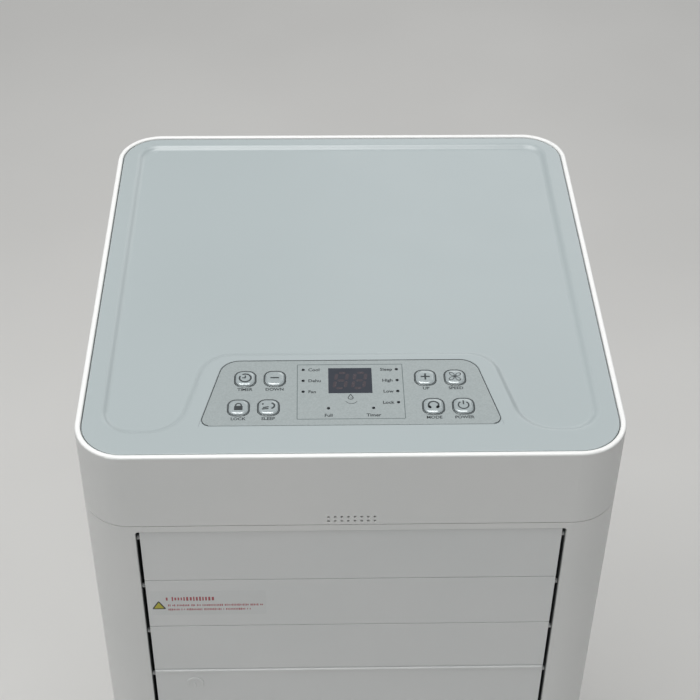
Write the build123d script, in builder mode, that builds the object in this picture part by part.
"""Portable air conditioner with a dehumidify mode: a white upright cabinet on four twin-wheel casters.

Frame: origin on the floor under the middle of the cabinet, +Z up, and the front faces -Y.
Millimetres. Sections: helpers, dimensions, casters, base, shells, top and controls, air outlet,
rear fittings, refrigeration, blowers, electrics.
"""

import os

from build123d import *

os.makedirs("parts", exist_ok=True)


# ---------------------------------------------------------------- helpers
def write(builder, node):
    """Label a finished piece and write its STEP file."""
    builder.part.label = node
    export_step(builder.part, f"parts/{node}.step")


def level(z):
    """Sketch plane at height z; extruding goes up."""
    return Plane.XY.offset(z)


def facing(y):
    """Sketch plane at depth y with sketch axes X and Z; extruding goes to the front."""
    return Plane.XZ.offset(-y)


def across(x):
    """Sketch plane at width x with sketch axes Y and Z; extruding goes to the right."""
    return Plane.YZ.offset(x)


def block(x_range, y_range, z_range, mode=Mode.ADD):
    """Box between two corners, in the part being built."""
    ranges = (x_range, y_range, z_range)
    with Locations(tuple((low + high) / 2 for low, high in ranges)):
        Box(*(high - low for low, high in ranges), mode=mode)


def rod(start, end, radius, mode=Mode.ADD):
    """Cylinder from one point to another, in the part being built."""
    run = Vector(*end) - Vector(*start)
    with Locations(Plane(origin=start, z_dir=run)):
        bottom = (Align.CENTER, Align.CENTER, Align.MIN)
        Cylinder(radius, run.length, align=bottom, mode=mode)


# ---------------------------------------------------------------- dimensions shared by many pieces
cabinet_width = 325.0
cabinet_depth = 335.0
cabinet_height = 680.0
corner_radius = 30.0
shell_wall = 3.0
seam_gap = 0.6  # shadow gap between the moulded covers
fit_gap = 0.3  # assembly clearance between pieces that do not move
run_gap = 0.1  # radial clearance of a shaft in its hole
slide_gap = 0.4  # clearance round a piece that slides

ground_clearance = 24.0
base_height = 46.0
cover_height = 57.2  # top cover, from its seam to the rim
lip_height = 12.0  # tongues that locate the shells
lip_wall = 2.4
lip_root = 8.0  # how far a tongue is joined to its own wall
shell_split = -40.0  # y of the seam between front and rear shells

base_top = ground_clearance + base_height
cover_seam = cabinet_height - cover_height
shell_bottom = base_top + seam_gap
shell_top = cover_seam - seam_gap
front_face = -cabinet_depth / 2
rear_face = cabinet_depth / 2
side_face = cabinet_width / 2
inner_front = front_face + shell_wall
inner_rear = rear_face - shell_wall
inner_side = side_face - shell_wall
lip_inset = shell_wall + fit_gap
past = 20.0  # how far a cutting block passes beyond what it cuts
hair = 0.01  # smaller than any feature, for telling places apart


def cabinet_outline(inset=0.0, mode=Mode.ADD):
    """Rounded rectangle of the cabinet, taken in by inset."""
    width = cabinet_width - 2 * inset
    depth = cabinet_depth - 2 * inset
    return RectangleRounded(width, depth, corner_radius - inset, mode=mode)


def cabinet_ring(z_range, outer_inset, inner_inset):
    """Wall that follows the cabinet outline between two insets."""
    with BuildSketch(level(z_range[0])) as ring:
        cabinet_outline(outer_inset)
        cabinet_outline(inner_inset, mode=Mode.SUBTRACT)
    extrude(ring.sketch, amount=z_range[1] - z_range[0])


# ---------------------------------------------------------------- casters
wheel_radius = 16.0
wheel_width = 9.0
wheel_gap = 0.5
hub_recess = 2.0
caster_web = 7.0
caster_trail = 11.0
caster_inset = 43.0  # swivel axis from the cabinet's side and front
fork_nose = 8.0  # front edge of the fork ahead of its swivel axis
fork_tail = 10.0  # rear edge of the fork behind its swivel axis
fork_depth = 7.0  # depth of the fork's front edge
fork_boss = 6.0  # half size of the block round the axle
tread_round = 1.2
hub_web = 3.0  # boss left round the axle in the hub's recess
tread_wall = 4.0
well_sweep_gap = 1.0  # round the wheels as the caster swivels
well_depth = 20.0
axle_radius = 2.5
stem_radius = 4.0
stem_length = 16.0
fork_disc_radius = 11.0
fork_disc_height = 3.0
half_axle = caster_web / 2 + wheel_gap + wheel_width
wheel_sweep = Vector(caster_trail + wheel_radius, half_axle).length
well_radius = wheel_sweep + well_sweep_gap
well_roof = ground_clearance + well_depth
fork_top = well_roof - 2 * slide_gap
fork_disc_bottom = fork_top - fork_disc_height
caster_x = side_face - caster_inset
caster_y = rear_face - caster_inset
casters = {
    "front_left": (-caster_x, -caster_y),
    "front_right": (caster_x, -caster_y),
    "rear_left": (-caster_x, caster_y),
    "rear_right": (caster_x, caster_y),
}


def caster(place, x, y):
    """Swivelling fork with its pressed-in axle, and the two wheels that roll on it."""
    axle_y = y + caster_trail

    with BuildPart() as fork:
        rod((x, y, fork_disc_bottom), (x, y, fork_top), fork_disc_radius)
        rod((x, y, fork_top), (x, y, fork_top + stem_length), stem_radius)
        with BuildSketch(across(x - caster_web / 2)):
            with BuildLine():
                Polyline(
                    (y - fork_nose, fork_disc_bottom),
                    (y + fork_tail, fork_disc_bottom),
                    (axle_y + fork_boss, wheel_radius + fork_boss - 2),
                    (axle_y + fork_boss, wheel_radius - fork_boss),
                    (axle_y - fork_boss, wheel_radius - fork_boss),
                    (y - fork_nose, fork_disc_bottom - fork_depth),
                    close=True,
                )
            make_face()
        extrude(amount=caster_web)
        rod((x - half_axle, axle_y, wheel_radius), (x + half_axle, axle_y, wheel_radius), axle_radius)
    write(fork, f"caster_fork_{place}")

    with BuildPart() as wheels:
        for side in (-1, 1):
            near = x + side * (caster_web / 2 + wheel_gap)
            far = near + side * wheel_width
            rod((near, axle_y, wheel_radius), (far, axle_y, wheel_radius), wheel_radius)
            with BuildSketch(across(far)):
                with Locations((axle_y, wheel_radius)):
                    Circle(wheel_radius - tread_wall)
                    Circle(axle_radius + hub_web, mode=Mode.SUBTRACT)
            extrude(amount=-side * hub_recess, mode=Mode.SUBTRACT)
        rims = wheels.edges().filter_by(GeomType.CIRCLE).group_by(lambda edge: edge.radius)[-1]
        fillet(rims, tread_round)
        bore = axle_radius + run_gap
        rod(
            (x - half_axle - 1, axle_y, wheel_radius),
            (x + half_axle + 1, axle_y, wheel_radius),
            bore,
            mode=Mode.SUBTRACT,
        )
    write(wheels, f"caster_wheels_{place}")


for place, (x, y) in casters.items():
    caster(place, x, y)

# ---------------------------------------------------------------- base tray, drain and float
tray_floor = ground_clearance + shell_wall
well_wall = 3.0
socket_wall = 4.0
stem_hole_cap = 2.0  # roof left over the hole for the stem
socket_roof = 5.0  # above the caster's stem
socket_top = fork_top + stem_length + socket_roof

drain_height = 15.0  # spigot axis above the underside
spigot_radius = 8.0
spigot_bore = 5.0
spigot_length = 15.0
pocket_half_width = 25.0
pocket_height = 26.0
pocket_depth = 18.0
drain_z = ground_clearance + drain_height
pocket_floor = rear_face - pocket_depth
pocket_top = tray_floor + pocket_height
spigot_end = pocket_floor + spigot_length
plug_flange_radius = 7.8  # inside the spigot, so a hose slides over both
plug_flange = 2.2
plug_length = 10.0

compressor_radius = 55.0
compressor_x = -75.0
compressor_y = -70.0
foot_circle = 62.0
foot_boss_radius = 10.0
foot_boss_height = 17.0
stud_radius = 3.0
stud_length = 18.0
foot_angles = (30, 150, 270)
foot_boss_top = tray_floor + foot_boss_height
feet = [
    Vector(foot_circle, 0, 0).rotate(Axis.Z, angle) + Vector(compressor_x, compressor_y, 0)
    for angle in foot_angles
]

float_x = 100.0
float_y = -60.0
float_post_radius = 3.0
float_radius = 11.0
float_height = 12.0
float_travel = 14.0
float_bottom = tray_floor + 2.0
post_top = float_bottom + float_height + float_travel + 3.0

coil_rest_x = 70.0
coil_rest_width = 12.0
condenser_front = 98.0
condenser_depth = 34.0

screw_radius = 1.6
screw_head_radius = 3.6
screw_head = 1.6
screw_spacing = 118.0
base_screw_z = base_top + lip_height / 2
cover_screw_z = cover_seam - lip_height / 2
screw_columns = (-screw_spacing, 0.0, screw_spacing)
screw_points = [(x, z) for z in (base_screw_z, cover_screw_z) for x in screw_columns]

with BuildPart() as base_tray:
    with BuildSketch(level(ground_clearance)):
        cabinet_outline()
    extrude(amount=base_height)
    fillet(base_tray.faces().sort_by(Axis.Z)[0].outer_wire().edges(), shell_wall * 0.8)
    with BuildSketch(level(tray_floor)):
        cabinet_outline(shell_wall)
    extrude(amount=base_height, mode=Mode.SUBTRACT)
    cabinet_ring((base_top - lip_root, base_top), shell_wall / 2, lip_inset + lip_wall)
    cabinet_ring((base_top, base_top + lip_height), lip_inset, lip_inset + lip_wall)
    for x, y in casters.values():
        rod((x, y, tray_floor), (x, y, well_roof + well_wall), well_radius + well_wall)
        rod((x, y, well_roof), (x, y, socket_top), stem_radius + socket_wall)
        rod((x, y, 0), (x, y, well_roof), well_radius, mode=Mode.SUBTRACT)
        stem_hole_top = socket_top - stem_hole_cap
        rod((x, y, well_roof), (x, y, stem_hole_top), stem_radius + run_gap, mode=Mode.SUBTRACT)
    pocket_outer = pocket_half_width + shell_wall
    block((-pocket_outer, pocket_outer), (pocket_floor - shell_wall, inner_rear + 1),
          (tray_floor - 1, pocket_top + shell_wall))
    block((-pocket_half_width, pocket_half_width), (pocket_floor, rear_face + past),
          (tray_floor, pocket_top), mode=Mode.SUBTRACT)
    rod((0, pocket_floor - 1, drain_z), (0, spigot_end, drain_z), spigot_radius)
    rod((0, pocket_floor - past, drain_z), (0, spigot_end, drain_z), spigot_bore,
        mode=Mode.SUBTRACT)
    for foot in feet:
        rod((foot.X, foot.Y, tray_floor), (foot.X, foot.Y, foot_boss_top), foot_boss_radius)
        rod((foot.X, foot.Y, foot_boss_top), (foot.X, foot.Y, foot_boss_top + stud_length),
            stud_radius)
    rod((float_x, float_y, tray_floor), (float_x, float_y, post_top), float_post_radius)
    for side in (-1, 1):
        edges = sorted((side * coil_rest_x, side * (coil_rest_x - coil_rest_width)))
        block(tuple(edges), (condenser_front, condenser_front + condenser_depth),
              (tray_floor, base_top))
    for x in screw_columns:
        rod((x, inner_rear - past, base_screw_z), (x, rear_face, base_screw_z), screw_radius,
            mode=Mode.SUBTRACT)
write(base_tray, "base_tray")

with BuildPart() as drain_plug:
    plug_seat = spigot_end + fit_gap
    rod((0, plug_seat, drain_z), (0, plug_seat + plug_flange, drain_z), plug_flange_radius)
    rod((0, spigot_end - plug_length, drain_z), (0, plug_seat, drain_z), spigot_bore - run_gap)
    chamfer(drain_plug.faces().sort_by(Axis.Y)[0].edges(), 0.8)
write(drain_plug, "drain_plug")

with BuildPart() as drain_float:
    rod((float_x, float_y, float_bottom), (float_x, float_y, float_bottom + float_height),
        float_radius)
    fillet(drain_float.edges().filter_by(GeomType.CIRCLE), 2.0)
    rod((float_x, float_y, 0), (float_x, float_y, post_top), float_post_radius + slide_gap,
        mode=Mode.SUBTRACT)
write(drain_float, "water_level_float")

# ---------------------------------------------------------------- air outlet sizes
louvre_count = 6
louvre_pitch = 44.3
louvre_gap = 0.4  # between neighbouring blades when shut
louvre_top_gap = 1.0
outlet_top_band = 5.4  # shell wall between its seam and the outlet
outlet_half_width = 129.8
louvre_side_gap = 2.5
blade_thickness = 2.5
blade_setback = 0.8  # blade face behind the cabinet face
blade_edge_radius = 0.5
pivot_drop = 10.0  # pivot below the blade's top edge
pivot_setback = 5.5  # pivot behind the blade's face
pivot_pin_radius = 1.5
duct_wall = 2.5
duct_rear = -110.0

outlet_top = cover_seam - outlet_top_band
blade_half_width = outlet_half_width - louvre_side_gap
blade_height = louvre_pitch - louvre_gap
first_blade_top = outlet_top - louvre_top_gap
louvre_pivot_y = front_face + blade_setback + pivot_setback
louvre_pivots = [first_blade_top - pivot_drop - louvre_pitch * i for i in range(louvre_count)]
last_blade_bottom = first_blade_top - louvre_pitch * louvre_count + louvre_gap
outlet_bottom = last_blade_bottom - louvre_top_gap
duct_front = inner_front + fit_gap
duct_inner_top = outlet_top + 2.0

# ---------------------------------------------------------------- rear fittings sizes
upper_bay = 259.8  # evaporator bay, from the pan to the top cover's seam
pan_floor = 3.0
ledge_width = 6.0
ledge_height = 3.0
pan_bottom = cover_seam - upper_bay
pan_top = pan_bottom + pan_floor

filter_half_width = 116.0
filter_bottom = pan_bottom + 21.0
filter_top = cover_seam - 16.8
filter_depth = 12.0
filter_border = 4.0
filter_face = 3.0
filter_slots = 17
filter_slot_pitch = 12.0
filter_slot_height = 7.0
filter_rib = 8.0
mesh_thickness = 0.8

exhaust_radius = 65.0
exhaust_wall = 3.0
exhaust_flange = 2.0
exhaust_flange_width = 8.0
lower_scroll_margin = 7.0  # scroll beyond the exhaust bore
exhaust_flange_radius = exhaust_radius + exhaust_flange_width
lower_scroll_radius = exhaust_radius + lower_scroll_margin
exhaust_z = pan_bottom - lower_scroll_radius - 9.0
condenser_top = exhaust_z - exhaust_flange_radius - 5.0

vent_half_width = 96.0
vent_slots = 9
vent_slot_height = 6.0
vent_pitch = 12.0
vent_height = (vent_slots - 1) * vent_pitch + vent_slot_height
vent_middle_z = condenser_top - 8.0 - vent_height / 2

gland_x = 118.0
gland_z = 118.0
gland_radius = 9.0
gland_bore = 4.2
gland_rim = 2.5

handle_y = 55.0
handle_length = 92.0
handle_height = 34.0
handle_depth = 20.0
handle_wall = 2.5
handle_z = cover_seam - 56.8
handle_corner = 14.0


# ---------------------------------------------------------------- front and rear shells
inner_bottom = shell_bottom + lip_height + 1.0
inner_top = shell_top - lip_height - 1.0
tongue_overlap = 8.0


def shell_half(keep_front):
    """Half of the cabinet wall, in front of or behind the split, with the ledge for the pan."""
    sides = (-cabinet_width, cabinet_width)
    cabinet_ring((pan_bottom - ledge_height, pan_bottom), shell_wall / 2, shell_wall + ledge_width)
    if keep_front:
        removed = (shell_split, rear_face + past)
        block(sides, (front_face, duct_rear + ledge_width), (0, cabinet_height), mode=Mode.SUBTRACT)
    else:
        removed = (front_face - past, shell_split + seam_gap)
    cabinet_ring((shell_bottom, shell_top), 0, shell_wall)
    block(sides, removed, (0, cabinet_height), mode=Mode.SUBTRACT)


with BuildPart() as front_shell:
    shell_half(True)
    for side in (-1, 1):
        outer = side * (side_face - lip_inset)
        inner = outer - side * lip_wall
        wall = side * (inner_side + shell_wall / 2)
        root = (shell_split - lip_root, shell_split)
        block(tuple(sorted((wall, inner))), root, (inner_bottom, inner_top))
        block(tuple(sorted((outer, inner))), (shell_split, shell_split + tongue_overlap),
              (inner_bottom, pan_bottom - ledge_height - 1))
        block(tuple(sorted((outer, inner))), (shell_split, shell_split + tongue_overlap),
              (pan_bottom + 1, inner_top))
        block(tuple(sorted((outer - side * hair, inner))), root,
              (pan_bottom - ledge_height - 1, pan_bottom + 1))
    block((-outlet_half_width, outlet_half_width), (front_face - past, inner_front + 1),
          (outlet_bottom, outlet_top), mode=Mode.SUBTRACT)
    side_edges = front_shell.edges().filter_by(Axis.Y)
    opening_corners = [
        edge for edge in side_edges
        if abs(abs(edge.center().X) - outlet_half_width) < hair and edge.center().Y < inner_front
    ]
    fillet(opening_corners, 2.0)
write(front_shell, "front_shell")

with BuildPart() as rear_shell:
    shell_half(False)
    for side in (-1, 1):
        pocket = side * (side_face - handle_depth)
        with BuildSketch(across(pocket - side * handle_wall)):
            with Locations((handle_y, handle_z)):
                RectangleRounded(handle_length + 2 * handle_wall, handle_height + 2 * handle_wall,
                                 handle_corner + handle_wall)
        extrude(amount=side * (handle_depth + handle_wall - shell_wall / 2))
        with BuildSketch(across(pocket)):
            with Locations((handle_y, handle_z)):
                RectangleRounded(handle_length, handle_height, handle_corner)
        extrude(amount=side * (handle_depth + past), mode=Mode.SUBTRACT)
    block((-filter_half_width, filter_half_width), (inner_rear - 1, rear_face + past),
          (filter_bottom, filter_top), mode=Mode.SUBTRACT)
    with BuildSketch(facing(rear_face + 1)):
        with Locations((0, exhaust_z)):
            Circle(exhaust_radius + exhaust_wall + fit_gap)
        with Locations((gland_x, gland_z)):
            Circle(gland_radius)
        with Locations((0, vent_middle_z)):
            with GridLocations(vent_half_width, vent_pitch, 2, vent_slots):
                SlotOverall(vent_half_width - 8, vent_slot_height)
        with Locations(*screw_points):
            Circle(screw_radius)
    extrude(amount=shell_wall + 2, mode=Mode.SUBTRACT)
write(rear_shell, "rear_shell")

# ---------------------------------------------------------------- top cover
rim_wall = 3.4
rim_gap = 0.6
plate_drop = 0.8  # top plate below the rim
plate_thickness = 5.0
plate_ledge = 5.0
sensor_pitch = 3.95
sensor_row = 3.5
sensor_columns = 8
sensor_radius = 0.9
sensor_height = 4.65  # middle of the two rows above the cover's seam
plate_top = cabinet_height - plate_drop
plate_bottom = plate_top - plate_thickness
plate_inset = rim_wall + rim_gap

with BuildPart() as top_cover:
    cabinet_ring((cover_seam, cabinet_height), 0, rim_wall)
    rim_edges = top_cover.faces().sort_by(Axis.Z)[-1].edges()
    fillet(rim_edges, 1.2)
    cabinet_ring((plate_bottom - ledge_height, plate_bottom), rim_wall / 2, rim_wall + plate_ledge)
    cabinet_ring((cover_seam, cover_seam + lip_root), shell_wall / 2, lip_inset + lip_wall)
    cabinet_ring((cover_seam - lip_height, cover_seam), lip_inset, lip_inset + lip_wall)
    clear_half = outlet_half_width + duct_wall + 2.0
    clear_rear = front_face + rim_wall + past
    block((-clear_half, clear_half), (front_face + rim_wall, clear_rear),
          (cover_seam - lip_height, cover_seam + lip_root), mode=Mode.SUBTRACT)
    block((-clear_half, clear_half), (front_face, clear_rear),
          (cover_seam - lip_height, cover_seam), mode=Mode.SUBTRACT)
    with BuildSketch(facing(inner_front + past)):
        with Locations((0, cover_seam + sensor_height)):
            with GridLocations(sensor_pitch, sensor_row, sensor_columns, 2):
                Circle(sensor_radius)
    extrude(amount=past + shell_wall + 1, mode=Mode.SUBTRACT)
    for x in screw_columns:
        rod((x, inner_rear - past, cover_screw_z), (x, rear_face, cover_screw_z), screw_radius,
            mode=Mode.SUBTRACT)
write(top_cover, "top_cover")

# ---------------------------------------------------------------- control layout
island_back = -74.6
island_half_back = 89.1
island_half_front = 103.7
recess_side = 144.5
recess_front = -142.4
recess_back = 152.0
recess_depth = 2.3
recess_slope = 55.0  # wall angle from vertical, degrees
recess_round = 4.0  # crest and foot of the sloping wall
recess_floor = plate_top - recess_depth
island_radius = 21.0
bay_radius = 16.0
back_radius = 11.0

overlay_back = -83.3
overlay_front = -140.6
overlay_half_back = 77.3
overlay_half_front = 89.8
overlay_back_corner = 12.0
overlay_front_corner = 5.5
overlay_thickness = 0.4
overlay_proud = 0.1
overlay_bottom = plate_top + overlay_proud - overlay_thickness
overlay_top = plate_top + overlay_proud

key_width = 12.8
key_length = 13.8
key_corner = 4.8
key_proud = 0.8
key_travel = 0.45
key_edge = 0.7
key_flange = 1.2
key_flange_reach = 1.5
key_flange_gap = 0.2  # below the plate when the key is up
key_stem_radius = 2.0
key_rest_gap = 0.15  # stem to plunger when the key is fully down
keys = {
    "button_timer": (-63.6, -100.1),
    "button_down": (-45.7, -100.1),
    "button_lock": (-66.9, -125.5),
    "button_sleep": (-49.1, -125.5),
    "button_up": (45.7, -100.1),
    "button_speed": (63.8, -100.1),
    "button_mode": (49.2, -125.5),
    "button_power": (67.1, -125.5),
}
window_width = 26.5
window_length = 22.6
window_y = -102.0
lamp_radius = 1.0
lamp_proud = 0.15
lamp_foot_gap = 2.0
lamps = [(-28.5, -92.1), (-28.5, -102.0), (-28.5, -111.8)]
lamps += [(28.5, y) for y in (-92.1, -102.0, -111.8, -121.6)]
lamps += [(-13.4, -126.4), (13.4, -126.4)]

board_thickness = 1.6
board_gap = 8.6  # plate underside to the board's top
board_half_width = 92.0
board_front = -141.0
board_back = -82.0
switch_size = 6.0
switch_height = 3.5
plunger_height = 0.8
plunger_radius = 1.75
standoff_radius = 3.0
standoff_inset = 4.0
board_top = plate_bottom - board_gap
board_bottom = board_top - board_thickness
switch_top = board_top + switch_height


def key_outline(grow=0.0):
    """Rounded square of one key, grown all round."""
    return RectangleRounded(key_width + 2 * grow, key_length + 2 * grow, key_corner + grow)


def overlay_outline(grow=0.0):
    """Tapered outline of the control overlay, wider at the front, grown all round."""
    with BuildLine() as edge:
        Polyline(
            (-overlay_half_front - grow, overlay_front - grow),
            (overlay_half_front + grow, overlay_front - grow),
            (overlay_half_back + grow, overlay_back + grow),
            (-overlay_half_back - grow, overlay_back + grow),
            close=True,
        )
    make_face(edge.line)


def spans(face, low, high):
    """Whether a face runs from one height exactly to the other."""
    box = face.bounding_box()
    return abs(box.min.Z - low) < hair and abs(box.max.Z - high) < hair


with BuildPart() as top_plate:
    with BuildSketch(level(plate_bottom)):
        cabinet_outline(plate_inset)
    extrude(amount=plate_thickness)
    plate_rim = top_plate.faces().sort_by(Axis.Z)[-1].edges()
    fillet(plate_rim, 0.5)
    with BuildSketch(level(recess_floor)):
        with BuildLine():
            corners = [
                (-island_half_back, island_back),
                (-island_half_front, recess_front),
                (-recess_side, recess_front),
                (-recess_side, recess_back),
            ]
            mirrored = [(-x, y) for x, y in reversed(corners)]
            radii = [island_radius, island_radius, bay_radius, back_radius]
            FilletPolyline(*corners, *mirrored, radius=radii + radii[::-1], close=True)
        make_face()
    extrude(amount=recess_depth, taper=-recess_slope, mode=Mode.SUBTRACT)
    slopes = [face for face in top_plate.faces() if spans(face, recess_floor, plate_top)]
    recess_edges = [edge for face in slopes for edge in face.edges() if edge.bounding_box().size.Z < hair]
    fillet(recess_edges, recess_round)
    with BuildSketch(level(overlay_bottom)) as overlay_pocket:
        overlay_outline(fit_gap)
        back_corners = overlay_pocket.vertices().group_by(Axis.Y)[-1]
        front_corners = overlay_pocket.vertices().group_by(Axis.Y)[0]
        fillet(back_corners, overlay_back_corner + fit_gap)
        fillet(front_corners, overlay_front_corner + fit_gap)
    extrude(amount=past, mode=Mode.SUBTRACT)
    with BuildSketch(level(plate_bottom - 1)):
        with Locations(*keys.values()):
            key_outline(slide_gap)
        with Locations((0, window_y)):
            Rectangle(window_width, window_length)
        with Locations(*lamps):
            Circle(lamp_radius)
    extrude(amount=plate_thickness + 2, mode=Mode.SUBTRACT)
    for x in (-board_half_width + standoff_inset, board_half_width - standoff_inset):
        for y in (board_front + standoff_inset, board_back - standoff_inset):
            rod((x, y, board_top), (x, y, plate_bottom), standoff_radius)
write(top_plate, "top_plate")

with BuildPart() as control_overlay:
    with BuildSketch(level(overlay_bottom)) as overlay_film:
        overlay_outline()
        fillet(overlay_film.vertices().group_by(Axis.Y)[-1], overlay_back_corner)
        fillet(overlay_film.vertices().group_by(Axis.Y)[0], overlay_front_corner)
        with Locations(*keys.values()):
            RectangleRounded(key_width + 2 * slide_gap, key_length + 2 * slide_gap,
                             key_corner + slide_gap, mode=Mode.SUBTRACT)
        with Locations((0, window_y)):
            Rectangle(window_width, window_length, mode=Mode.SUBTRACT)
        with Locations(*lamps):
            Circle(lamp_radius, mode=Mode.SUBTRACT)
    extrude(amount=overlay_thickness)
write(control_overlay, "control_overlay")

for node, (x, y) in keys.items():
    with BuildPart() as key:
        flange_top = plate_bottom - key_flange_gap
        with BuildSketch(level(flange_top)):
            with Locations((x, y)):
                key_outline()
        extrude(amount=overlay_top + key_proud - flange_top)
        fillet(key.faces().sort_by(Axis.Z)[-1].edges(), key_edge)
        with BuildSketch(level(flange_top - key_flange)):
            with Locations((x, y)):
                key_outline(key_flange_reach)
        extrude(amount=key_flange)
        stem_bottom = switch_top + key_travel + key_rest_gap
        rod((x, y, stem_bottom), (x, y, flange_top), key_stem_radius)
    write(key, node)

with BuildPart() as display_window:
    block((-window_width / 2, window_width / 2),
          (window_y - window_length / 2, window_y + window_length / 2), (plate_bottom, overlay_top))
write(display_window, "display_window")

with BuildPart() as indicator_lenses:
    for x, y in lamps:
        rod((x, y, board_top + lamp_foot_gap), (x, y, overlay_top + lamp_proud), lamp_radius)
write(indicator_lenses, "indicator_lenses")

with BuildPart() as control_board:
    block((-board_half_width, board_half_width), (board_front, board_back), (board_bottom, board_top))
write(control_board, "control_board")

with BuildPart() as display_module:
    half = window_width / 2 + 1
    block((-half, half), (window_y - half, window_y + half), (board_top, plate_bottom - 1.0))
    write(display_module, "display_module")

with BuildPart() as key_switches:
    for x, y in keys.values():
        half = switch_size / 2
        body_top = switch_top - plunger_height
        block((x - half, x + half), (y - half, y + half), (board_top, body_top))
        rod((x, y, body_top), (x, y, switch_top), plunger_radius)
write(key_switches, "key_switches")

# ---------------------------------------------------------------- louvres and vanes
link_setback = 9.0  # link pin behind the pivot
link_rise = 8.0  # link pin above the pivot
link_eye = 3.5
link_x = -112.0
link_thickness = 3.0
ear_thickness = 2.5

vane_count = 4
vane_pitch = 60.0
vane_y = -128.0
vane_depth = 24.0
vane_thickness = 2.0
vane_pin_radius = 2.0
vane_link_reach = 9.0
vane_link_height = 3.0
vane_link_width = 6.0
vane_pin_root = 4.0  # how far a pin is joined to its vane
vane_pin_short = 0.3  # pin end inside the duct wall's outer face
duct_inner_bottom = outlet_bottom
vane_bottom = duct_inner_bottom + 10.8
vane_top = duct_inner_top - 7.4
vane_link_z = duct_inner_bottom + 5.0
vane_xs = [vane_pitch * (i - (vane_count - 1) / 2) for i in range(vane_count)]

upper_scroll_z = pan_bottom + 92.0
upper_scroll_radius = 76.0
upper_scroll_front = -50.0
upper_scroll_rear = 36.0
mouth_left = -72.0
mouth_right = -4.0
mouth_height = 42.0
mouth_top = cover_seam - 20.8
mouth_bottom = mouth_top - mouth_height
scroll_wall = 2.5

with BuildPart() as outlet_duct:
    outer = outlet_half_width + duct_wall
    block((-outer, outer), (duct_front, duct_rear),
          (duct_inner_bottom - duct_wall, duct_inner_top + duct_wall))
    block((-outlet_half_width, outlet_half_width), (duct_front - past, duct_rear - duct_wall),
          (duct_inner_bottom, duct_inner_top), mode=Mode.SUBTRACT)
    block((mouth_left, mouth_right), (duct_rear - past, duct_rear + past),
          (mouth_bottom, mouth_top), mode=Mode.SUBTRACT)
    for z in louvre_pivots:
        rod((-outer - 1, louvre_pivot_y, z), (outer + 1, louvre_pivot_y, z),
            pivot_pin_radius + run_gap, mode=Mode.SUBTRACT)
    for x in vane_xs:
        rod((x, vane_y, duct_inner_bottom - past), (x, vane_y, duct_inner_top + past),
            vane_pin_radius + run_gap, mode=Mode.SUBTRACT)
write(outlet_duct, "outlet_duct")


def louvre_blade(node, pivot_z):
    """One horizontal blade with its end ears, pivot pins, link ear and link pin."""
    blade_front = louvre_pivot_y - pivot_setback
    blade_top = pivot_z + pivot_drop
    link_y = louvre_pivot_y + link_setback
    link_z = pivot_z + link_rise
    with BuildPart() as blade:
        block((-blade_half_width, blade_half_width), (blade_front, blade_front + blade_thickness),
              (blade_top - blade_height, blade_top))
        fillet(blade.edges().filter_by(Axis.X), blade_edge_radius)
        ear_faces = (blade_half_width - ear_thickness, -blade_half_width)
        for x in ear_faces:
            with BuildSketch(across(x)):
                with BuildLine():
                    Polyline(
                        (blade_front + 1, pivot_z + 5),
                        (louvre_pivot_y, pivot_z + 3),
                        (louvre_pivot_y + 3, pivot_z),
                        (louvre_pivot_y, pivot_z - 3),
                        (blade_front + 1, pivot_z - 5),
                        close=True,
                    )
                make_face()
            extrude(amount=ear_thickness)
        for side in (-1, 1):
            rod((side * (blade_half_width - 1), louvre_pivot_y, pivot_z),
                (side * (outlet_half_width + duct_wall - 0.2), louvre_pivot_y, pivot_z),
                pivot_pin_radius)
        ear_x = link_x - link_thickness / 2 - ear_thickness - 0.4
        with BuildSketch(across(ear_x)):
            with BuildLine():
                Polyline(
                    (blade_front + 1, pivot_z + 8),
                    (link_y, link_z + link_eye),
                    (link_y + link_eye, link_z),
                    (link_y, link_z - link_eye),
                    (blade_front + 1, pivot_z - 6),
                    close=True,
                )
            make_face()
        extrude(amount=ear_thickness)
        rod((ear_x + 1, link_y, link_z), (link_x + link_thickness / 2 + 0.6, link_y, link_z),
            pivot_pin_radius)
    write(blade, node)


for number, pivot_z in enumerate(louvre_pivots, start=1):
    louvre_blade(f"louvre_blade_{number}", pivot_z)

with BuildPart() as louvre_link:
    link_y = louvre_pivot_y + link_setback
    link_zs = [z + link_rise for z in louvre_pivots]
    with BuildSketch(across(link_x - link_thickness / 2)):
        with Locations((link_y, (link_zs[0] + link_zs[-1]) / 2)):
            SlotOverall(link_zs[0] - link_zs[-1] + 2 * 2.5, 5.0, rotation=90)
        with Locations(*((link_y, z) for z in link_zs)):
            Circle(pivot_pin_radius + run_gap, mode=Mode.SUBTRACT)
    extrude(amount=link_thickness)
write(louvre_link, "louvre_link")

for number, x in enumerate(vane_xs, start=1):
    with BuildPart() as vane:
        with BuildSketch(level(vane_bottom)):
            with Locations((x, vane_y)):
                SlotOverall(vane_depth, vane_thickness, rotation=90)
        extrude(amount=vane_top - vane_bottom)
        rod((x, vane_y, duct_inner_bottom - duct_wall + vane_pin_short),
            (x, vane_y, vane_bottom + vane_pin_root), vane_pin_radius)
        rod((x, vane_y, vane_top - vane_pin_root),
            (x, vane_y, duct_inner_top + duct_wall - vane_pin_short), vane_pin_radius)
        rod((x, vane_y + vane_link_reach, vane_link_z - 0.6),
            (x, vane_y + vane_link_reach, vane_bottom + vane_pin_root), pivot_pin_radius)
    write(vane, f"airflow_vane_{number}")

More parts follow.
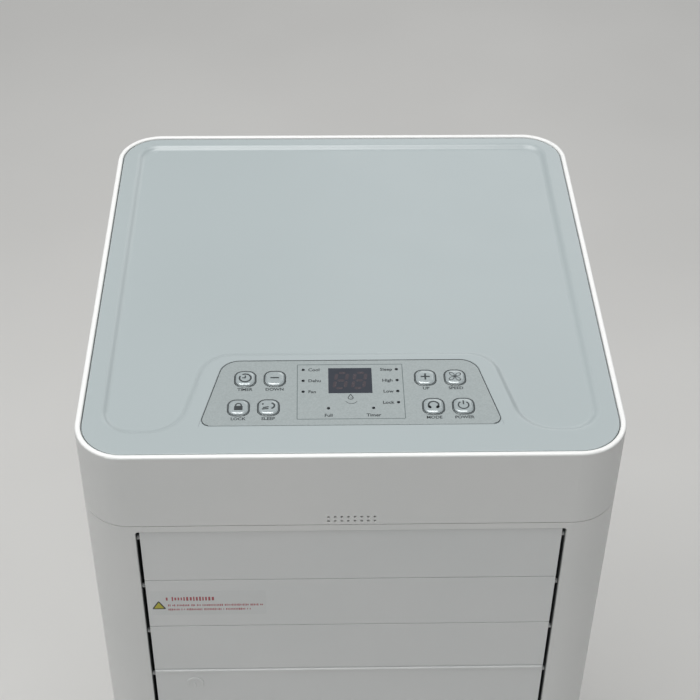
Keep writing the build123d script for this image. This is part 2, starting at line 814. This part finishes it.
with BuildPart() as vane_link:
    with BuildSketch(level(vane_link_z)):
        with Locations((0, vane_y + vane_link_reach)):
            SlotOverall(vane_xs[-1] - vane_xs[0] + vane_link_width + 4, vane_link_width)
        with Locations(*((x, vane_y + vane_link_reach) for x in vane_xs)):
            Circle(pivot_pin_radius + run_gap, mode=Mode.SUBTRACT)
    extrude(amount=vane_link_height)
write(vane_link, "vane_link")

# ---------------------------------------------------------------- rear fittings
with BuildPart() as filter_frame:
    half = filter_half_width - slide_gap
    low = filter_bottom + slide_gap
    high = filter_top - slide_gap
    block((-half, half), (rear_face - filter_depth, rear_face), (low, high))
    fillet(filter_frame.edges().filter_by(Axis.Y), 3.0)
    block((-half + filter_border, half - filter_border),
          (rear_face - filter_depth - 1, rear_face - filter_face),
          (low + filter_border, high - filter_border), mode=Mode.SUBTRACT)
    slot_length = half - filter_border - filter_rib
    with BuildSketch(facing(rear_face + 1)):
        with Locations((0, (low + high) / 2)):
            with GridLocations(slot_length + filter_rib, filter_slot_pitch, 2, filter_slots):
                Rectangle(slot_length, filter_slot_height)
    extrude(amount=filter_face + 2, mode=Mode.SUBTRACT)
write(filter_frame, "filter_frame")

with BuildPart() as filter_mesh:
    half = filter_half_width - slide_gap - filter_border - fit_gap
    mesh_rear = rear_face - filter_face - fit_gap
    block((-half, half), (mesh_rear - mesh_thickness, mesh_rear),
          (low + filter_border + fit_gap, high - filter_border - fit_gap))
write(filter_mesh, "filter_mesh")

lower_scroll_front = -10.0
lower_scroll_rear = 70.0

with BuildPart() as exhaust_collar:
    collar_outer = exhaust_radius + exhaust_wall
    rod((0, lower_scroll_rear + fit_gap, exhaust_z), (0, rear_face, exhaust_z), collar_outer)
    rod((0, inner_rear - fit_gap - exhaust_flange, exhaust_z), (0, inner_rear - fit_gap, exhaust_z),
        exhaust_flange_radius)
    rod((0, lower_scroll_rear, exhaust_z), (0, rear_face + 1, exhaust_z), exhaust_radius,
        mode=Mode.SUBTRACT)
write(exhaust_collar, "exhaust_collar")

with BuildPart() as cord_gland:
    rod((gland_x, inner_rear, gland_z), (gland_x, rear_face + gland_rim, gland_z), gland_radius)
    rod((gland_x, rear_face, gland_z), (gland_x, rear_face + gland_rim, gland_z), gland_radius + 2)
    fillet(cord_gland.faces().sort_by(Axis.Y)[-1].edges(), 1.0)
    rod((gland_x, inner_rear - 1, gland_z), (gland_x, rear_face + past, gland_z), gland_bore,
        mode=Mode.SUBTRACT)
write(cord_gland, "cord_gland")

with BuildPart() as casing_screws:
    for x, z in screw_points:
        shank_end = rear_face - lip_inset - lip_wall - 3
        rod((x, shank_end, z), (x, rear_face, z), screw_radius - 0.02)
        rod((x, rear_face, z), (x, rear_face + screw_head, z), screw_head_radius)
        block((x - 2.4, x + 2.4), (rear_face + screw_head - 0.8, rear_face + past),
              (z - 0.4, z + 0.4), mode=Mode.SUBTRACT)
        block((x - 0.4, x + 0.4), (rear_face + screw_head - 0.8, rear_face + past),
              (z - 2.4, z + 2.4), mode=Mode.SUBTRACT)
write(casing_screws, "casing_screws")

# ---------------------------------------------------------------- refrigeration
foot_plate = 3.0
grommet_height = 10.0
grommet_radius = 9.0
compressor_height = 175.0
compressor_round = 24.0
compressor_skirt = 30.0  # narrower foot ring inside the base plate
compressor_skirt_inset = 26.0
pipe_radius = 4.0
pipe_bend = 14.0
pipe_entry_bend = 7.0  # last bend, into a coil
coil_half_width = 122.0
coil_plate = 1.5
coil_bend_pitch = 25.0
coil_bend_reach = 8.0  # half the spacing of the tubes that a bend joins
coil_tube = 3.5
evaporator_front = 96.0
evaporator_depth = 38.0
evaporator_top = cover_seam - 22.8
pan_rim = 8.0
pan_wall = 2.5
foot_plate_bottom = foot_boss_top + grommet_height
compressor_bottom = foot_plate_bottom + foot_plate

with BuildPart() as compressor_grommets:
    for foot in feet:
        rod((foot.X, foot.Y, foot_boss_top), (foot.X, foot.Y, foot_plate_bottom), grommet_radius)
        rod((foot.X, foot.Y, foot_boss_top), (foot.X, foot.Y, foot_plate_bottom),
            stud_radius + run_gap, mode=Mode.SUBTRACT)
write(compressor_grommets, "compressor_grommets")

with BuildPart() as compressor:
    rod((compressor_x, compressor_y, compressor_bottom),
        (compressor_x, compressor_y, compressor_bottom + compressor_height), compressor_radius)
    ends = compressor.edges().filter_by(GeomType.CIRCLE)
    fillet(ends, compressor_round)
    with BuildSketch(level(foot_plate_bottom)):
        Polygon(*((foot.X, foot.Y) for foot in feet), align=None)
        offset(amount=grommet_radius)
        with Locations(*((foot.X, foot.Y) for foot in feet)):
            Circle(stud_radius + 0.6, mode=Mode.SUBTRACT)
    extrude(amount=foot_plate)
    rod((compressor_x, compressor_y, compressor_bottom - 1),
        (compressor_x, compressor_y, compressor_bottom + compressor_skirt),
        compressor_radius - compressor_skirt_inset)
write(compressor, "compressor")


def coil(node, y_range, z_range):
    """Finned heat exchanger: a fin pack between end plates, with return bends at both ends."""
    middle_y = sum(y_range) / 2
    bends = int((z_range[1] - z_range[0]) // coil_bend_pitch)
    lowest = (z_range[0] + z_range[1] - coil_bend_pitch * (bends - 1)) / 2
    with BuildPart() as pack:
        block((-coil_half_width, coil_half_width), (y_range[0] + 1, y_range[1] - 1),
              (z_range[0] + 1, z_range[1] - 1))
        for side in (-1, 1):
            face = side * (coil_half_width + coil_plate)
            block(tuple(sorted((side * coil_half_width, face))), y_range, z_range)
            for i in range(bends):
                middle = (face, middle_y, lowest + coil_bend_pitch * i)
                with BuildSketch(Plane(origin=middle, x_dir=(0, 1, 0), z_dir=(side, 0, 0))):
                    with Locations((coil_bend_reach, 0)):
                        Circle(coil_tube)
                revolve(axis=Axis(middle, (0, 0, side)), revolution_arc=180)
    write(pack, node)


coil("condenser_coil", (condenser_front, condenser_front + condenser_depth), (base_top, condenser_top))
coil("evaporator_coil", (evaporator_front, evaporator_front + evaporator_depth),
     (pan_top, evaporator_top))

with BuildPart() as partition_pan:
    with BuildSketch(level(pan_bottom)):
        cabinet_outline(lip_inset + lip_wall + fit_gap)
    extrude(amount=pan_floor)
    low_wall = (evaporator_front - pan_wall - 2, inner_rear - ledge_width)
    pan_half = coil_half_width + coil_plate + 14
    block((-pan_half - pan_wall, pan_half + pan_wall), low_wall, (pan_bottom, pan_top + pan_rim))
    block((-pan_half, pan_half), (low_wall[0] + pan_wall, low_wall[1] - pan_wall),
          (pan_top, pan_top + past), mode=Mode.SUBTRACT)
    block((-cabinet_width, cabinet_width), (front_face - past, duct_rear + 2),
          (pan_bottom - past, pan_top + past), mode=Mode.SUBTRACT)
    pipe_x = -(pan_half - 5)
    rod((pipe_x, condenser_front + condenser_depth / 2, pan_bottom - 1),
        (pipe_x, condenser_front + condenser_depth / 2, pan_top + 1), pipe_radius + 1.5,
        mode=Mode.SUBTRACT)
write(partition_pan, "partition_pan")


def pipe(points):
    """Bent copper tube along straight runs joined by arcs, as a separate solid."""
    with BuildPart() as tube:
        with BuildLine() as route:
            bends = [pipe_bend] * (len(points) - 3) + [pipe_entry_bend]
            FilletPolyline(*points, radius=bends)
        with BuildSketch(Plane(origin=route.line @ 0, z_dir=route.line % 0)):
            Circle(pipe_radius)
        sweep()
    return tube.part


compressor_top = compressor_bottom + compressor_height
pipe_row = compressor_top + 24.0
coil_end = coil_half_width + coil_plate
discharge = [
    (compressor_x - 12, compressor_y, compressor_top),
    (compressor_x - 12, compressor_y, pipe_row),
    (pipe_x, compressor_y, pipe_row),
    (pipe_x, condenser_front + condenser_depth / 2, pipe_row),
    (pipe_x, condenser_front + condenser_depth / 2, condenser_top - 24),
    (-coil_end - 0.2, condenser_front + condenser_depth / 2, condenser_top - 24),
]
suction = [
    (compressor_x + 18, compressor_y, compressor_top),
    (compressor_x + 18, compressor_y, pipe_row + 28),
    (pipe_x, compressor_y, pipe_row + 28),
    (pipe_x, evaporator_front + evaporator_depth / 2, pipe_row + 28),
    (pipe_x, evaporator_front + evaporator_depth / 2, pan_top + 60),
    (-coil_end - 0.2, evaporator_front + evaporator_depth / 2, pan_top + 60),
]
refrigerant_pipes = Compound(label="refrigerant_pipes", children=[pipe(discharge), pipe(suction)])
export_step(refrigerant_pipes, "parts/refrigerant_pipes.step")

# ---------------------------------------------------------------- blowers
motor_radius = 32.0
motor_length = 44.0
shaft_radius = 4.0
shaft_reach = 30.0  # shaft inside the motor
housing_bore = 9.0
wheel_hub = 12.0
wheel_depth = 50.0
wheel_plate = 2.5
wheel_side_gap = 7.0
wheel_tip_gap = 16.0  # wheel to the scroll wall
fan_blades = 24
fan_blade_length = 13.0
fan_blade_thickness = 1.4
scroll_foot_width = 44.0


def blower(prefix, z, radius, front, rear, rear_opening, foot_range, ducted):
    """Centrifugal blower on an axis along Y: scroll housing, bladed wheel and motor."""
    with BuildPart() as housing:
        rod((0, front, z), (0, rear, z), radius)
        block((-scroll_foot_width / 2, scroll_foot_width / 2), (front, rear), foot_range)
        neck = (mouth_left - scroll_wall, mouth_right + scroll_wall)
        roof = mouth_top + scroll_wall
        if ducted:
            block(neck, (front, rear), (z, roof))
            block(neck, (duct_rear + fit_gap, rear), (mouth_bottom - scroll_wall, roof))
        inside = (front + scroll_wall, rear - scroll_wall)
        rod((0, inside[0], z), (0, inside[1], z), radius - scroll_wall, mode=Mode.SUBTRACT)
        if ducted:
            block((mouth_left, mouth_right), inside, (z, mouth_top), mode=Mode.SUBTRACT)
            block((mouth_left, mouth_right), (duct_rear, inside[1]), (mouth_bottom, mouth_top),
                  mode=Mode.SUBTRACT)
        rod((0, rear - past, z), (0, rear + 1, z), rear_opening, mode=Mode.SUBTRACT)
        rod((0, front - 1, z), (0, front + scroll_wall + 1, z), housing_bore, mode=Mode.SUBTRACT)
    write(housing, f"{prefix}_blower_housing")

    with BuildPart() as motor:
        rod((0, front - motor_length, z), (0, front, z), motor_radius)
        fillet(motor.edges().filter_by(GeomType.CIRCLE), 3.0)
        rod((0, front - shaft_reach - 1, z), (0, front + 1, z), shaft_radius + run_gap,
            mode=Mode.SUBTRACT)
    write(motor, f"{prefix}_blower_motor")

    wheel_front = front + scroll_wall + wheel_side_gap
    wheel_rear = wheel_front + wheel_depth
    wheel_radius = radius - wheel_tip_gap
    with BuildPart() as wheel:
        rod((0, wheel_front, z), (0, wheel_front + wheel_plate, z), wheel_radius)
        rod((0, wheel_front, z), (0, wheel_front + wheel_hub, z), wheel_hub)
        rod((0, front - shaft_reach, z), (0, wheel_front + 1, z), shaft_radius)
        with BuildSketch(facing(wheel_rear)):
            with Locations((0, z)):
                with PolarLocations(wheel_radius - fan_blade_length / 2, fan_blades):
                    Rectangle(fan_blade_length, fan_blade_thickness)
        extrude(amount=wheel_depth)
        with BuildSketch(facing(wheel_rear)):
            with Locations((0, z)):
                Circle(wheel_radius)
                Circle(wheel_radius - fan_blade_length, mode=Mode.SUBTRACT)
        extrude(amount=wheel_plate)
    write(wheel, f"{prefix}_blower_wheel")


blower("upper", upper_scroll_z, upper_scroll_radius, upper_scroll_front, upper_scroll_rear,
       upper_scroll_radius - 24, (pan_top, upper_scroll_z - upper_scroll_radius + 10), True)
blower("lower", exhaust_z, lower_scroll_radius, lower_scroll_front, lower_scroll_rear,
       exhaust_radius, (exhaust_z + lower_scroll_radius - 10, pan_bottom), False)

# ---------------------------------------------------------------- electrics
board_x = inner_side - 9.5
board_y = (-20.0, 70.0)
board_low = pan_bottom + 39.0
board_high = board_low + 116.0
board_hole_inset = 6.0
relay_size = 16.0
relay_height = 14.0
relay_pitch = 22.0
relay_y = (-10.0, 10.0)
capacitor_y = 50.0
capacitor_drop = 18.0  # below the board's top edge
capacitor_radius = 12.0
capacitor_length = 26.0
coil_former_y = (-10.0, 25.0)
coil_former_height = 24.0
coil_former_drop = (38.0, 8.0)  # below the board's top edge
terminal_y = (30.0, 60.0)
terminal_height = 8.0
terminal_rise = (10.0, 68.0)  # above the board's bottom edge

with BuildPart() as power_board:
    block((board_x, board_x + board_thickness), board_y, (board_low, board_high))
    for y in (board_y[0] + board_hole_inset, board_y[1] - board_hole_inset):
        for z in (board_low + board_hole_inset, board_high - board_hole_inset):
            rod((board_x + 1, y, z), (inner_side, y, z), standoff_radius)
    capacitor_z = board_high - capacitor_drop
    rod((board_x - capacitor_length, capacitor_y, capacitor_z), (board_x, capacitor_y, capacitor_z),
        capacitor_radius)
    block((board_x - coil_former_height, board_x), coil_former_y,
          (board_high - coil_former_drop[0], board_high - coil_former_drop[1]))
    for i in range(3):
        relay_low = board_low + 5 + relay_pitch * i
        block((board_x - relay_height, board_x), relay_y, (relay_low, relay_low + relay_size))
    block((board_x - terminal_height, board_x), terminal_y,
          (board_low + terminal_rise[0], board_low + terminal_rise[1]))
write(power_board, "power_board")
